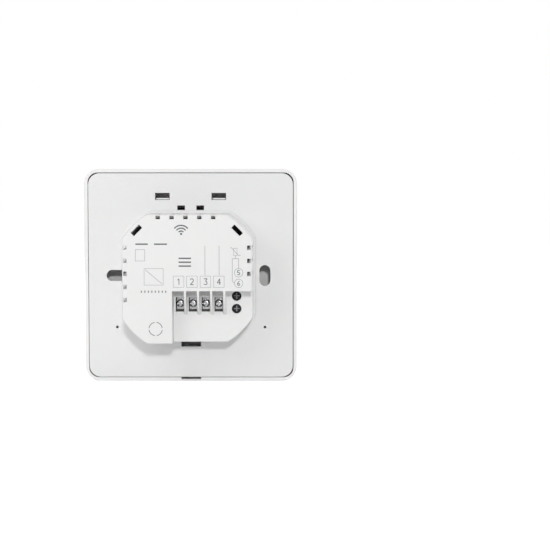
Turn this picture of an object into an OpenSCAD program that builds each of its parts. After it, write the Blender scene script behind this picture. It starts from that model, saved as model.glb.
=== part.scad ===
// Wall thermostat with a turning dial ring.
// Wall plane at Y = 0, back box towards +Y, dial towards -Y, +Z up, origin on the dial axis.
// Sub-parts are drawn with x to the right, y up and z forward, then laid into that frame by facing().

/* [Front cover] */
// Width and height of the square front cover
cover_w = 86; // [72:0.5:104]
// Depth of the cover's flat sides
cover_depth = 8.9; // [8:0.1:10.5]
// Corner radius of the cover
cover_corner = 6; // [4:0.5:10]
// Thickness of the cover's side wall
cover_wall = 1.4; // [1.2:0.1:1.8]
// Thickness of the cover's front wall
front_wall = 2.0; // [1.6:0.1:2.4]
// Rounding of the cover's front edge
cover_edge = 1.0; // [0.6:0.1:1.4]
// Corner radius inside the cover's rim
cover_in_corner = 4; // [3:0.5:8]
// Gap between the cover's rim and the mounting plate
rim_gap = 0.25; // [0.15:0.05:0.4]
// Rise of the round shoulder above the cover's flat front
shoulder_rise = 2.9; // [2.4:0.1:3.4]
// How much further out the foot of the shoulder stands than its top
shoulder_run = 3.5; // [2.5:0.1:4]
// Width of the pry slot inside the bottom rim
notch_w = 8; // [6:0.5:10]

/* [Mounting plate] */
// Thickness of the mounting plate
plate_t = 2.0; // [1.7:0.1:2.4]
// Corner radius of the mounting plate
plate_corner = 4.6; // [3.5:0.1:8]
// Spacing of the two wall screws
screw_spacing = 60; // [56:0.5:64]
// Width of a wall screw slot
slot_w = 4.45; // [3.7:0.05:5]
// End-to-end length of a wall screw slot
slot_l = 8.4; // [6:0.1:9]
// Diameter of the two locating pin holes
pilot_d = 1.1; // [0.9:0.1:1.6]
// How far the pin holes lie below the wall screws
pilot_drop = 21; // [16:0.5:25]

/* [Back box] */
// Width and height of the back box
box_w = 50.4; // [48:0.1:52]
// Diameter of the round wall box that the corners are cut to fit
box_round_d = 59.2; // [58:0.1:60]
// Depth of the back box behind the wall plane
box_depth = 23.4; // [19.5:0.1:28.2]
// Wall thickness of the back box
box_wall = 1.6; // [1.3:0.1:1.9]
// Rounding of the box's rear edges
box_edge = 0.6; // [0.4:0.1:1.3]
// Width of the flared skirt where the box meets the plate
skirt_w = 0.9; // [0.6:0.1:1.1]

/* [Terminal recess] */
// Depth of the recess floor below the box's rear face
recess_depth = 8.4; // [7:0.1:10]
// Height of the recess's upper wall below the centre
recess_drop = 4.6; // [4.2:0.1:5]
// Distance between neighbouring mains terminals
terminal_pitch = 5.1; // [5:0.02:5.4]
// Width of a mains terminal window
window_w = 3.3; // [3.1:0.05:3.6]
// Height of a mains terminal window
window_h = 5.7; // [5.2:0.1:6]
// Thickness of a barrier rib between terminals
rib_t = 0.9; // [0.7:0.1:1.1]
// Diameter of a sensor screw's access hole
sensor_hole_d = 3.8; // [3.6:0.1:4.2]
// Distance between the two sensor terminals
sensor_pitch = 5.0; // [4.8:0.1:5.4]

/* [Terminal hardware] */
// How far a mains clamp opens
clamp_travel = 2.4; // [1.6:0.1:2.6]
// Diameter of a mains screw's shank
mains_screw_d = 2.5; // [2:0.1:2.6]
// How far a sensor wire cage rises
cage_travel = 2.2; // [1.2:0.1:2.3]
// Diameter of a sensor screw's shank
sensor_screw_d = 1.9; // [1.6:0.1:2]

/* [Dial] */
// Largest radius of the dial ring
dial_r = 42.6; // [42:0.1:44]
// Radius of the ring where it meets the shoulder
dial_rear_r = 38.5; // [38:0.1:39]
// Depth of the dial ring from rear edge to front edge
dial_depth = 18.9; // [16.5:0.1:22.7]
// Gap between the shoulder and the ring
dial_gap = 0.6; // [0.4:0.05:1]
// Inner radius of the ring's front opening
dial_opening_r = 35.4; // [35.2:0.1:35.8]

/* [Display] */
// Width of the display glass
lcd_w = 42; // [36:0.5:43]
// Height of the display glass
lcd_h = 36; // [32:0.5:36]
// Thickness of the lens
lens_t = 2.2; // [1.6:0.1:2.4]
// Thickness of a circuit board
board_t = 1.6; // [1.2:0.1:1.8]

/* [Fits] */
// Radial clearance of a part that turns in a bore
run_gap = 0.05; // [0.03:0.01:0.1]
// Clearance round a part that slides or drops in
slide_gap = 0.15; // [0.1:0.05:0.2]
// Clearance between parts that only pass each other
free_gap = 0.3; // [0.25:0.05:0.4]

/* [Hidden] */
TERMINALS = [1:4];
SENSORS = [5:6];
$fn = 96;
small_fn = 40;
eps = 0.01;          // overlap that joins two shapes of one piece
corner_steps = 9;    // straight stretches in a rounded outline corner
edge_steps = 4;      // bands in a rounded edge
through = 200;       // longer than anything it cuts

// cover and plate
rim_lift = 0.3;
plate_w = cover_w - 2 * (cover_wall + rim_gap);
cover_in_w = cover_w - 2 * cover_wall;
wall_back = cover_depth - front_wall;
plateau = cover_depth + shoulder_rise;
plateau_back = plateau - front_wall;
shoulder_foot_r = dial_rear_r + shoulder_run;
notch_depth = 4.5;
notch_lip = 0.6;                              // thickness of the rim left outside the pry slot
tongue_x = 11.4;
tongue_up = 32;
tongue_window = [5.9, 2.8];
tongue_t = 0.6;
tongue_set_back = 1.5;
vent_window = [3.1, 1.9];
vent_window_x = 3.85;
vent_window_up = 27.4;
latch_window = [8, 2.9];
latch_up = -(box_w / 2 + skirt_w + latch_window[1] / 2);
stop_t = 1.2;
stop_up = latch_up - latch_window[1] / 2 - stop_t / 2 - 0.2;

// back box
box_r = box_round_d / 2;
box_in_w = box_w - 2 * box_wall;
box_in_r = box_r - box_wall;
rear_wall = 1.8;
skirt_foot = 0.15;
rebate_t = 1.0;
cavity_back = box_depth - rear_wall;
recess_x = 5.8;
floor_back = box_depth - recess_depth;       // recess floor, behind the wall plane
floor_front = floor_back - box_wall;
terminal_mid_x = -4.25;
terminal_up = -10.45;
terminal_count = 4;
rib_arc_r = 12.56;
rib_arc_in = 12.2;
rib_arc_up = 2.1;
sensor_x = -19;
sensor_up = -9.65;
wire_window = [3.4, 5.3];
wire_window_back = 6.35;
vent_front_w = 0.55;
vent_rear_w = 1.7;
vent_from = 5.4;
vent_lip = 0.5;
vent_pitch_side = 5.1;
vent_pitch_top = 5.37;
top_vent_x = 0.5;
corner_slot = [4.6, 1.8];
corner_slot_at = [19.5, 19.05];

// power side
board_front = 1.9;                           // power board's front face, behind the wall plane
board_back = board_front + board_t;
boss_r = 2.4;
tallest = cavity_back - board_back;           // room for the parts on the power board
boss_at = [[20, 13.5], [-20, 13.5], [18, -18], [-18, -18]];
screw_r = 1.25;
screw_bite = 6;
inner_cover_t = 1.4;
inner_lap = 1.3;
block_back = floor_front - 0.2;
header_up = 8;
header_pitch = 2;
header_count = 7;
pin_w = 0.6;
header_body = [header_count * header_pitch + 2, 3.2, 2.5];

// mains terminals, distances behind the wall plane
contact_t = 1.2;
clamp_t = 0.8;
clamp_under = 1.2;                            // how far a raised clamp stays below the recess floor
contact_back = floor_back - clamp_under - clamp_travel - clamp_t;
shank_end = board_back + 0.8;
clamp_w = window_w - 2 * slide_gap;
clamp_h = window_h - 0.9;
clamp_up = terminal_up + 0.25;
mains_head_r = clamp_w / 2 + 0.05;
mains_head_h = 1.6;
mains_shank = contact_back + clamp_t - shank_end;
pocket_w = window_w + 0.4;
pocket_h = window_h + 0.4;
contact_leg = [1.0, 0.8];
driver_slot_w = 0.6;
head_crown = 0.6;                             // share of a screw head's radius that is domed

// sensor terminals, distances behind the wall plane
sensor_shoulder = floor_back - 1.9;
shoulder_web = 0.5;
cage_t = 0.6;
cage_back = sensor_shoulder - shoulder_web - free_gap - cage_travel;
cage_outer = [4.4, 3.6, cage_back - board_back - 0.4];
tongue_strip_t = 0.7;
sensor_head_r = sensor_hole_d / 2 - 0.2;
sensor_head_h = 1.4;
strip_back = cage_back - cage_t - 0.2;
sensor_shank = sensor_shoulder - strip_back + tongue_strip_t + 0.1;
sensor_block_w = 7.6;
sensor_block_out = box_in_w / 2 - slide_gap;

// dial and hub, distances in front of the wall plane
dial_rear = plateau + dial_gap;
dial_front = dial_rear + dial_depth;
dial_shell = 2.2;
gear_module = 1.0;
ring_teeth = 68;
pinion_teeth = 12;
front_round = 3;
arc_height = 11;                              // rear edge to the fullest part of the ring
arc_bulge = dial_r - dial_rear_r;
arc_r = (arc_bulge * arc_bulge + arc_height * arc_height) / (2 * arc_bulge);
arc_centre_r = dial_r - arc_r;
arc_centre_z = dial_rear + arc_height;
front_centre_z = dial_front - front_round;
front_angle = asin((front_centre_z - arc_centre_z) / arc_r);
front_centre_r = arc_centre_r + arc_r * cos(front_angle) - front_round;
ring_seat_r = 37.2;
hub_r = 32.4;
hub_wall = 1.6;
hub_in_r = hub_r - hub_wall;
lens_front = dial_front - 0.9;
lens_back = lens_front - lens_t;
frame_flange_t = 1.2;
frame_flange_back = lens_back - frame_flange_t;
hub_front = frame_flange_back;
spigot_len = 2.5;
spigot_r = hub_in_r - run_gap;
lens_rim_r = dial_opening_r - free_gap;
lens_rim_t = 0.6;
lens_r = lens_rim_r - lens_rim_t - run_gap;
glide_t = 0.6;
gear_back = plateau + glide_t + run_gap;
gear_t = 4.5;
carrier_front = frame_flange_back - 0.2;
carrier_wall = 2.0;
flange_t = 2.1;
pinion_at = gear_module * (ring_teeth - pinion_teeth) / 2;
pinion_t = 2.8;
encoder_turn = -5 * 360 / ring_teeth;         // a whole number of tooth spaces round from the bottom
ring_pitch_r = gear_module * ring_teeth / 2;
backlash = 0.12;

// display board
display_back = plateau + 0.2;
display_front = display_back + board_t;
display_r = hub_in_r - free_gap;
pinion_back = display_front + free_gap;
ledge_r = hub_in_r - 3.3;
board_screw_ring = (ledge_r + hub_in_r) / 2;
board_screw_angles = [20, 90, 160];
lcd_t = 2.8;
lcd_up = 1;
lcd_front = lens_back - 0.6;
lcd_back = lcd_front - lcd_t;
holder_wall = 1.0;
guide_t = 3;
encoder_w = 7;
encoder_h = 4.5;
shaft_r = 1.5;
encoder_pocket = encoder_w + 2 * free_gap;

function arc(cx, cy, r, a0, a1, n) =
    [for (i = [0:n]) let (a = a0 + (a1 - a0) * i / n) [cx + r * cos(a), cy + r * sin(a)]];

function rounded_outline(w, h, r) =
    let (x = w / 2 - r, y = h / 2 - r)
    concat(arc(x, y, r, 0, 90, corner_steps), arc(-x, y, r, 90, 180, corner_steps),
           arc(-x, -y, r, 180, 270, corner_steps), arc(x, -y, r, 270, 360, corner_steps));

function terminal_x(i) = terminal_mid_x + ((terminal_count + 1) / 2 - i) * terminal_pitch;
function sensor_y(i) = sensor_up + (i == 5 ? 1 : -1) * sensor_pitch / 2;

module facing() rotate([90, 0, 0]) children();

// a stretch of the drawing between two distances in front of the wall plane
module between(z0, z1) translate([0, 0, z0]) linear_extrude(z1 - z0) children();

// the same, measured behind the wall plane
module behind(y0, y1) translate([0, 0, -y1]) linear_extrude(y1 - y0) children();

module ring_band(r_out, r_in, z0, z1) {
    translate([0, 0, z0]) difference() {
        cylinder(r = r_out, h = z1 - z0);
        translate([0, 0, -1]) cylinder(r = r_in, h = z1 - z0 + 2);
    }
}

module rod(r, z0, z1) translate([0, 0, z0]) cylinder(r = r, h = z1 - z0, $fn = small_fn);

module slot(length, width) {
    reach = (length - width) / 2;
    square([2 * reach, width], center = true);
    for (s = [-1, 1]) translate([s * reach, 0]) circle(d = width, $fn = small_fn);
}

// a bar along y whose section is given by its right half, as [x, z] points
module slab(section) rotate([90, 0, 0]) translate([0, 0, -through / 2]) linear_extrude(through)
    polygon(concat(section, [for (i = [len(section) - 1:-1:0]) [-section[i][0], section[i][1]]]));

// the same half section turned about the dial axis
module turned(section) rotate_extrude()
    polygon(concat([[0, section[0][1]]], section, [[0, section[len(section) - 1][1]]]));

// ---------- front cover ----------

// half of the cover's section: straight side, rounded front edge
function cover_section(half) = concat([[half, rim_lift]],
    [for (i = [0:edge_steps]) let (a = 90 * i / edge_steps)
        [half - cover_edge * (1 - cos(a)), cover_depth - cover_edge * (1 - sin(a))]]);

module cover_blank() {
    corner_reach = (cover_w / 2 - cover_corner) * sqrt(2) + cover_corner;
    intersection() {
        between(rim_lift - 1, cover_depth + 1) polygon(rounded_outline(cover_w, cover_w, cover_corner));
        slab(cover_section(cover_w / 2));
        rotate(90) slab(cover_section(cover_w / 2));
        turned(cover_section(corner_reach - 0.05));
    }
}

module shoulder() {
    profile = concat([[0, cover_depth - 1], [shoulder_foot_r, cover_depth - 1]],
        [for (i = [0:4]) let (a = 90 * i / 4)
            [dial_rear_r + shoulder_run * cos(a), cover_depth + shoulder_rise * sin(a)]],
        [[0, plateau]]);
    rotate_extrude() polygon(profile);
}

module cover_tongue(side) {
    translate([side * tongue_x, tongue_up - tongue_window[1] / 2 + tongue_t / 2 + slide_gap])
        square([tongue_window[0] - 2 * free_gap, tongue_t], center = true);
}

module front_cover() {
    color("whitesmoke") facing() {
        difference() {
            union() {
                cover_blank();
                shoulder();
                translate([0, 0, plateau - eps]) cylinder(r = hub_r, h = hub_front - plateau + eps);
            }
            between(-1, wall_back) polygon(rounded_outline(cover_in_w, cover_in_w, cover_in_corner));
            translate([0, 0, wall_back - eps])
                cylinder(r = dial_rear_r - front_wall, h = plateau_back - wall_back + eps);
            translate([0, 0, plateau_back - 1]) cylinder(r = ledge_r, h = through);
            translate([0, 0, display_back]) cylinder(r = hub_in_r, h = through);
            // pinion window, encoder pocket and board screw holes
            at_encoder() {
                rod(gear_module * (pinion_teeth / 2 + 1) + free_gap, pinion_back - free_gap,
                    pinion_back + pinion_t + free_gap);
                between(0, display_back) square(encoder_pocket, center = true);
            }
            for (a = board_screw_angles) rotate(a) translate([board_screw_ring, 0]) rod(0.85, 0, plateau + 1);
            translate([-notch_w / 2, -cover_w / 2 + notch_lip, -1])
                cube([notch_w, cover_wall - notch_lip + eps, notch_depth + 1]);
        }
        for (s = [-1, 1]) between(tongue_set_back, plateau_back + 0.5) cover_tongue(s);
        between(plate_t + free_gap, plateau_back + 0.5)
            translate([0, stop_up]) square([latch_window[0] - 2, stop_t], center = true);
    }
}

// ---------- dial ----------

function dial_outside() = concat(
    arc(arc_centre_r, arc_centre_z, arc_r, asin(-arc_height / arc_r), front_angle, 10),
    arc(front_centre_r, front_centre_z, front_round, front_angle + 12, 90, 5));

module dial_ring() {
    pocket_from = dial_rear + 2;
    pocket_to = dial_rear + 10.6;
    pocket_r = arc_centre_r + sqrt(pow(arc_r - dial_shell, 2) - pow(arc_centre_z - pocket_from, 2));
    lip_back = lens_front - 1.8;
    color("silver") facing() rotate_extrude() polygon(concat(dial_outside(), [
        [dial_opening_r, lens_front - 0.4], [dial_opening_r, lip_back],
        [ring_seat_r, lip_back], [ring_seat_r, pocket_to],
        [dial_r - dial_shell, pocket_to], [pocket_r, pocket_from],
        [ring_seat_r, pocket_from], [ring_seat_r, dial_rear]]));
}

// flank of an involute tooth, from the root or base circle out to the tip
function flank(m, z, root, tip, slack) =
    let (pitch_r = m * z / 2, base = pitch_r * cos(20), n = 3, low = max(root, base),
         pitch_roll = sqrt(pow(pitch_r / base, 2) - 1),
         pitch_turn = pitch_roll * 180 / PI - atan(pitch_roll),
         half = 90 / z - slack / (2 * pitch_r) * 180 / PI)
    concat(root < base ? [[root, half + pitch_turn]] : [],
        [for (i = [0:n]) let (r = low + (tip - low) * i / n, roll = sqrt(max(0, pow(r / base, 2) - 1)))
            [r, half + pitch_turn - (roll * 180 / PI - atan(roll))]]);

// gear outline; a tooth points down, towards -y
module gear_outline(m, z, root, tip, slack) {
    side = flank(m, z, root, tip, slack);
    n = len(side);
    polygon([for (k = [0:z - 1], i = [0:2 * n - 1])
        let (p = i < n ? side[i] : side[2 * n - 1 - i], a = -90 + 360 * k / z + (i < n ? -p[1] : p[1]))
        [p[0] * cos(a), p[0] * sin(a)]]);
}

module dial_carrier() {
    color("gainsboro") facing() {
        difference() {
            translate([0, 0, gear_back]) cylinder(r = ring_seat_r - run_gap, h = gear_t);
            between(gear_back - 1, gear_back + gear_t + 1)
                gear_outline(gear_module, ring_teeth, ring_pitch_r - 0.6 * gear_module,
                             ring_pitch_r + 1.1 * gear_module, -backlash);
        }
        ring_band(hub_r + run_gap + carrier_wall, hub_r + run_gap, gear_back + gear_t - eps, carrier_front);
        ring_band(ring_seat_r - run_gap, hub_r + run_gap + 0.2, gear_back + gear_t - eps,
                  gear_back + gear_t + 1.5);
        ring_band(ring_seat_r - run_gap, hub_r + run_gap + 0.2, carrier_front - flange_t - 1,
                  carrier_front - 1);
    }
}

module at_encoder() rotate(encoder_turn) translate([0, -pinion_at]) children();

module glide_ring() {
    color("ivory") facing() difference() {
        ring_band(ring_seat_r - free_gap, hub_r + free_gap, plateau, plateau + glide_t);
        at_encoder() rod(gear_module * (pinion_teeth / 2 + 1) + free_gap, plateau - 1, plateau + glide_t + 1);
    }
}

module encoder_pinion() {
    color("white") facing() at_encoder() difference() {
        between(pinion_back, pinion_back + pinion_t)
            gear_outline(gear_module, pinion_teeth, gear_module * (pinion_teeth / 2 - 0.9),
                         gear_module * (pinion_teeth / 2 + 0.8), backlash);
        rod(shaft_r, pinion_back - 1, pinion_back + pinion_t + 1);
    }
}

module encoder_shaft() {
    color("silver") facing() at_encoder()
        rod(shaft_r, display_back - encoder_h + 1, pinion_back + pinion_t);
}

module encoder_body() {
    color("dimgray") facing() at_encoder() difference() {
        between(display_back - encoder_h, display_back) square(encoder_w, center = true);
        rod(shaft_r + run_gap, display_back - encoder_h + 1 - run_gap, display_back + 1);
    }
}

// ---------- lens and display ----------

module lens_frame() {
    inner_r = spigot_r - holder_wall;
    color("black") facing() rotate_extrude() polygon([
        [inner_r, frame_flange_back - spigot_len], [spigot_r, frame_flange_back - spigot_len],
        [spigot_r, frame_flange_back], [lens_rim_r, frame_flange_back], [lens_rim_r, lens_front - free_gap],
        [lens_rim_r - lens_rim_t, lens_front - free_gap], [lens_rim_r - lens_rim_t, lens_back],
        [inner_r, lens_back]]);
}

module lens() {
    color([0.1, 0.1, 0.12]) facing() {
        translate([0, 0, lens_back]) cylinder(r = lens_r, h = lens_t - 0.4);
        translate([0, 0, lens_front - 0.4]) cylinder(r1 = lens_r, r2 = lens_r - 0.4, h = 0.4);
    }
}

module lcd_panel() {
    color("darkslategray") facing() translate([0, lcd_up])
        between(lcd_back, lcd_front) square([lcd_w, lcd_h], center = true);
}

module light_guide() {
    color("lightcyan") facing() translate([0, lcd_up])
        between(lcd_back - guide_t, lcd_back)
            square([lcd_w - 2 * holder_wall - 2 * slide_gap, lcd_h - 4 * holder_wall - 4], center = true);
}

module backlight_leds() {
    color("lightyellow") facing() for (s = [-1, 1])
        translate([s * lcd_w / 5, lcd_up]) between(display_front, display_front + 1.2)
            square([3.5, 2.8], center = true);
}

module lcd_holder() {
    strip_y = lcd_h / 2 - 2.2;
    color("white") facing() translate([0, lcd_up]) difference() {
        between(display_front, lcd_back) square([lcd_w, lcd_h], center = true);
        between(display_front - 1, lcd_back + 1)
            square([lcd_w - 2 * holder_wall, lcd_h - 4 * holder_wall - 4 + 2 * slide_gap], center = true);
        for (s = [-1, 1]) translate([0, s * strip_y]) between(display_front - 1, lcd_back + 1)
            square([lcd_w - 4 + 2 * slide_gap, 1.8 + 2 * slide_gap], center = true);
    }
}

module contact_strips() {
    strip_y = lcd_h / 2 - 2.2;
    color("hotpink") facing() for (s = [-1, 1]) translate([0, lcd_up + s * strip_y])
        between(display_front, lcd_back) square([lcd_w - 4, 1.8], center = true);
}

module display_board() {
    color("darkgreen") facing() difference() {
        translate([0, 0, display_back]) cylinder(r = display_r, h = board_t);
        at_encoder() rod(shaft_r + free_gap, display_back - 1, display_front + 1);
        for (a = board_screw_angles) rotate(a) translate([board_screw_ring, 0])
            rod(0.95, display_back - 1, display_front + 1);
    }
}

module cross_slot(width, length, depth) {
    for (a = [0, 90]) rotate(a) translate([0, 0, -depth / 2])
        cube([length, width, depth], center = true);
}

module board_screws() {
    color("silver") facing() for (a = board_screw_angles) rotate(a)
        translate([board_screw_ring, 0]) difference() {
        union() {
            rod(0.8, display_back - 1.6, display_front + eps);
            rod(1.5, display_front, display_front + 1);
        }
        translate([0, 0, display_front + 1 + eps]) cross_slot(0.4, 1.8, 1.0);
    }
}

module processor() {
    color("black") facing() between(display_back - 1.5, display_back)
        translate([-12, -8]) square([9, 9], center = true);
}

module wireless_module() {
    color("steelblue") facing() translate([8, -8]) {
        between(display_back - 0.8, display_back) square([16, 20], center = true);
        between(display_back - 3, display_back - 0.8 + eps) translate([0, 2]) square([14, 14], center = true);
    }
}

module buzzer() {
    color("black") facing() translate([-17, 8]) difference() {
        rod(4.5, display_back - 4.5, display_back);
        rod(0.9, display_back - 5, display_back - 3.5);
    }
}

module room_sensor() {
    color("goldenrod") facing() translate([14, -21.5]) {
        rod(1.2, display_back - 5, display_back - 2.5);
        for (s = [-1, 1]) translate([s * 0.6, 0]) rod(0.25, display_back - 2.5 - eps, display_back);
    }
}

module header_socket() {
    back = plate_t + inner_cover_t + free_gap;
    color("black") facing() translate([0, header_up]) difference() {
        between(back, display_back) square([header_body[0], 5], center = true);
        between(back - 1, display_back - 1.5)
            square([header_body[0] - 2, pin_w + 4 * free_gap], center = true);
    }
}

// ---------- mounting plate ----------

module box_outline(grow) intersection() {
    square(box_w + 2 * grow, center = true);
    circle(r = box_r + grow);
}

module mounting_plate() {
    color("whitesmoke") facing() difference() {
        between(0, plate_t) polygon(rounded_outline(plate_w, plate_w, plate_corner));
        between(-1, plate_t + 1) {
            box_outline(run_gap);
            translate([screw_spacing / 2, 0]) slot(slot_l, slot_w);
            translate([-screw_spacing / 2, 0]) rotate(90) slot(slot_l, slot_w);
            for (s = [-1, 1]) {
                translate([s * screw_spacing / 2, -pilot_drop]) circle(d = pilot_d, $fn = small_fn);
                translate([s * tongue_x, tongue_up]) square(tongue_window, center = true);
                translate([s * vent_window_x, vent_window_up]) square(vent_window, center = true);
            }
            translate([0, latch_up]) square(latch_window, center = true);
        }
        between(-1, plate_t - rebate_t) box_outline(skirt_w + run_gap);
    }
}

// ---------- back box ----------

// half of the box's section: skirt at the plate, straight wall, rounded rear edge
function box_section(half) = concat(
    [[half, plate_t], [half, plate_t - rebate_t], [half + skirt_w, plate_t - rebate_t]],
    [for (i = [0:edge_steps]) let (a = 90 * i / edge_steps)
        [half + skirt_w * (1 - sin(a)), -skirt_foot - skirt_w * (1 - cos(a))]],
    [for (i = [0:edge_steps]) let (a = 90 * i / edge_steps)
        [half - box_edge * (1 - cos(a)), -box_depth + box_edge * (1 - sin(a))]]);

module box_form() intersection() {
    slab(box_section(box_w / 2));
    rotate(90) slab(box_section(box_w / 2));
    turned(box_section(box_r));
}

// the corner of the box that the terminal recess takes away, grown by a wall
module recess_area(grow)
    translate([recess_x + grow - through, -recess_drop + grow - through]) square(through);

module box_cavity() {
    difference() {
        behind(-plate_t - 1, cavity_back) intersection() {
            square(box_in_w, center = true);
            circle(r = box_in_r);
        }
        behind(floor_front, box_depth) recess_area(box_wall);
    }
}

module barrier_ribs() {
    for (i = [1:terminal_count]) intersection() {
        box_form();
        behind(floor_back - eps, box_depth) recess_area(eps);
        translate([terminal_x(i) - terminal_pitch / 2 - rib_t / 2, 0, 0])
            rotate([0, 90, 0]) linear_extrude(rib_t)
                translate([box_depth - rib_arc_in, -recess_drop + rib_arc_up]) circle(r = rib_arc_r);
    }
}

module vent_slot(side_from) {
    // the wedge-shaped slot through a side wall, and the notch that it makes in the rear face
    rotate([0, 90, 0]) translate([0, 0, side_from]) linear_extrude(through) polygon([
        [vent_from, -vent_front_w / 2], [box_depth - box_edge - 0.3, -vent_rear_w / 2],
        [box_depth - box_edge - 0.3, vent_rear_w / 2], [vent_from, vent_front_w / 2]]);
    behind(box_depth - rear_wall - 1, box_depth + 1)
        translate([box_w / 2 - vent_lip - 0.65, 0]) square([1.3, vent_rear_w], center = true);
}

module vents() {
    wall_from = box_in_w / 2 - 0.5;
    for (n = [0:2]) mirror([1, 0, 0]) translate([0, 2.1 + n * vent_pitch_side, 0]) vent_slot(wall_from);
    for (n = [-2:2]) {
        translate([0, 2.2 + n * vent_pitch_side, 0]) vent_slot(wall_from);
        translate([top_vent_x + n * vent_pitch_top, 0, 0]) rotate(90) vent_slot(wall_from);
    }
}

module floor_openings() {
    behind(floor_front - 1, floor_back + 1) {
        mains_pockets(window_w, window_h);
        for (i = SENSORS) translate([sensor_x, sensor_y(i)]) circle(d = sensor_hole_d, $fn = small_fn);
    }
    for (i = SENSORS) translate([0, sensor_y(i), -wire_window_back])
        translate([-through, -wire_window[0] / 2, -wire_window[1] / 2])
            cube([through + sensor_x, wire_window[0], wire_window[1]]);
}

module screw_bosses(r) for (p = boss_at) translate(p) circle(r = r, $fn = small_fn);

module back_box() {
    color("whitesmoke") facing() difference() {
        union() {
            difference() {
                box_form();
                box_cavity();
                behind(floor_back, box_depth + 1) recess_area(0);
            }
            barrier_ribs();
            intersection() {
                behind(board_back, box_depth - 1) screw_bosses(boss_r);
                difference() {
                    box_form();
                    behind(floor_back - 0.5, box_depth + 1) recess_area(0.5);
                }
            }
        }
        vents();
        floor_openings();
        for (s = [-1, 1]) translate([s * corner_slot_at[0], corner_slot_at[1]]) rotate(-s * 45)
            behind(cavity_back - 1, box_depth + 1) square(corner_slot, center = true);
        behind(0, board_back + screw_bite + 0.5) screw_bosses(screw_r + run_gap);
    }
}

// ---------- power side ----------

module inner_cover() {
    color("white") facing() difference() {
        union() {
            between(plate_t, plate_t + inner_cover_t) intersection() {
                square(box_w + 2 * inner_lap, center = true);
                circle(r = box_r + inner_lap);
            }
            between(-board_front, plate_t + eps) screw_bosses(boss_r - 0.2);
        }
        between(-board_front - 1, plate_t + inner_cover_t + 1) screw_bosses(screw_r + run_gap);
        between(plate_t - 1, plate_t + inner_cover_t + 1) translate([0, header_up])
            square([header_body[0] + 2 * free_gap, header_body[1] + 2 * free_gap], center = true);
    }
}

module base_screws() {
    head_from = plate_t + inner_cover_t;
    color("silver") facing() for (p = boss_at) translate(p) difference() {
        union() {
            rod(screw_r, -board_back - screw_bite, head_from + eps);
            rod(2.3, head_from, head_from + 1.5);
        }
        translate([0, 0, head_from + 1.5 + eps]) cross_slot(0.6, 2.8, 1.6);
    }
}

module power_board() {
    color("darkgreen") facing() difference() {
        behind(board_front, board_back) intersection() {
            square(box_in_w - 2 * free_gap, center = true);
            circle(r = box_in_r - free_gap);
        }
        behind(board_front - 1, board_back + 1) screw_bosses(screw_r + 0.1);
    }
}

module header_pins() {
    tip = display_back - 3.2;
    color("gold") facing() translate([0, header_up]) {
        translate([0, 0, -board_front]) linear_extrude(header_body[2])
            square([header_body[0] - 2, header_body[1] - 0.8], center = true);
        for (n = [0:header_count - 1]) translate([(n - (header_count - 1) / 2) * header_pitch, 0])
            between(-board_front + header_body[2] - eps, tip) square(pin_w, center = true);
    }
}

module relay() {
    color("royalblue") facing() behind(board_back, board_back + tallest - 3.5)
        translate([box_in_w / 2 - free_gap - 7.7, -4.75]) square([15, 19], center = true);
}

module power_module() {
    color("black") facing() behind(board_back, cavity_back - 0.6)
        translate([-6.5, 9.4]) square([19.5, 17.2], center = true);
}

module capacitor() {
    color("dimgray") facing() translate([10.4, 12]) rod(4, -board_back - tallest + 6.1, -board_back);
}

module varistor() {
    color("orangered") facing() translate([12.5, 19.4, -board_back - 4.6]) rotate([90, 0, 0])
        translate([0, 0, -1.4]) cylinder(r = 3.6, h = 2.8, $fn = small_fn);
}

module fuse() {
    color("khaki") facing() translate([-2.5, 20.9, -board_back - 1.9]) rotate([0, 90, 0])
        cylinder(r = 1.9, h = 10, center = true, $fn = small_fn);
}

// ---------- mains terminals ----------

module mains_pockets(w, h)
    for (i = TERMINALS) translate([terminal_x(i), terminal_up]) square([w, h], center = true);

module mains_terminal_block() {
    low = contact_back - contact_t;
    leg_y = terminal_up - pocket_h / 2 + contact_leg[1] / 2 + slide_gap;
    color("dimgray") facing() difference() {
        behind(board_back, block_back) translate([terminal_mid_x, terminal_up])
            square([terminal_count * terminal_pitch, pocket_h + 3.2], center = true);
        behind(low, block_back + 1) mains_pockets(pocket_w, pocket_h);
        for (i = TERMINALS) {
            translate([terminal_x(i), clamp_up])
                rod(mains_screw_d / 2 + free_gap, -low - 1, -shank_end + 0.4);
            behind(board_back - 1, low + 1) translate([terminal_x(i), leg_y])
                square([contact_leg[0] + 2 * slide_gap, contact_leg[1] + 2 * slide_gap], center = true);
        }
    }
}

module mains_contacts() {
    leg_y = terminal_up - pocket_h / 2 + contact_leg[1] / 2 + slide_gap;
    color("goldenrod") facing() difference() {
        union() {
            behind(contact_back - contact_t, contact_back)
                mains_pockets(pocket_w - 2 * slide_gap, pocket_h - 2 * slide_gap);
            behind(board_back, contact_back - contact_t + eps)
                for (i = TERMINALS) translate([terminal_x(i), leg_y]) square(contact_leg, center = true);
        }
        for (i = TERMINALS) translate([terminal_x(i), clamp_up])
            rod(mains_screw_d / 2 + run_gap, -contact_back - 1, -contact_back + contact_t + 1);
    }
}

module clamp_plate(i) {
    color("silver") facing() translate([terminal_x(i), clamp_up]) difference() {
        behind(contact_back, contact_back + clamp_t) square([clamp_w, clamp_h], center = true);
        rod(mains_screw_d / 2 + run_gap, -contact_back - clamp_t - 1, -contact_back + 1);
    }
}

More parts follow.
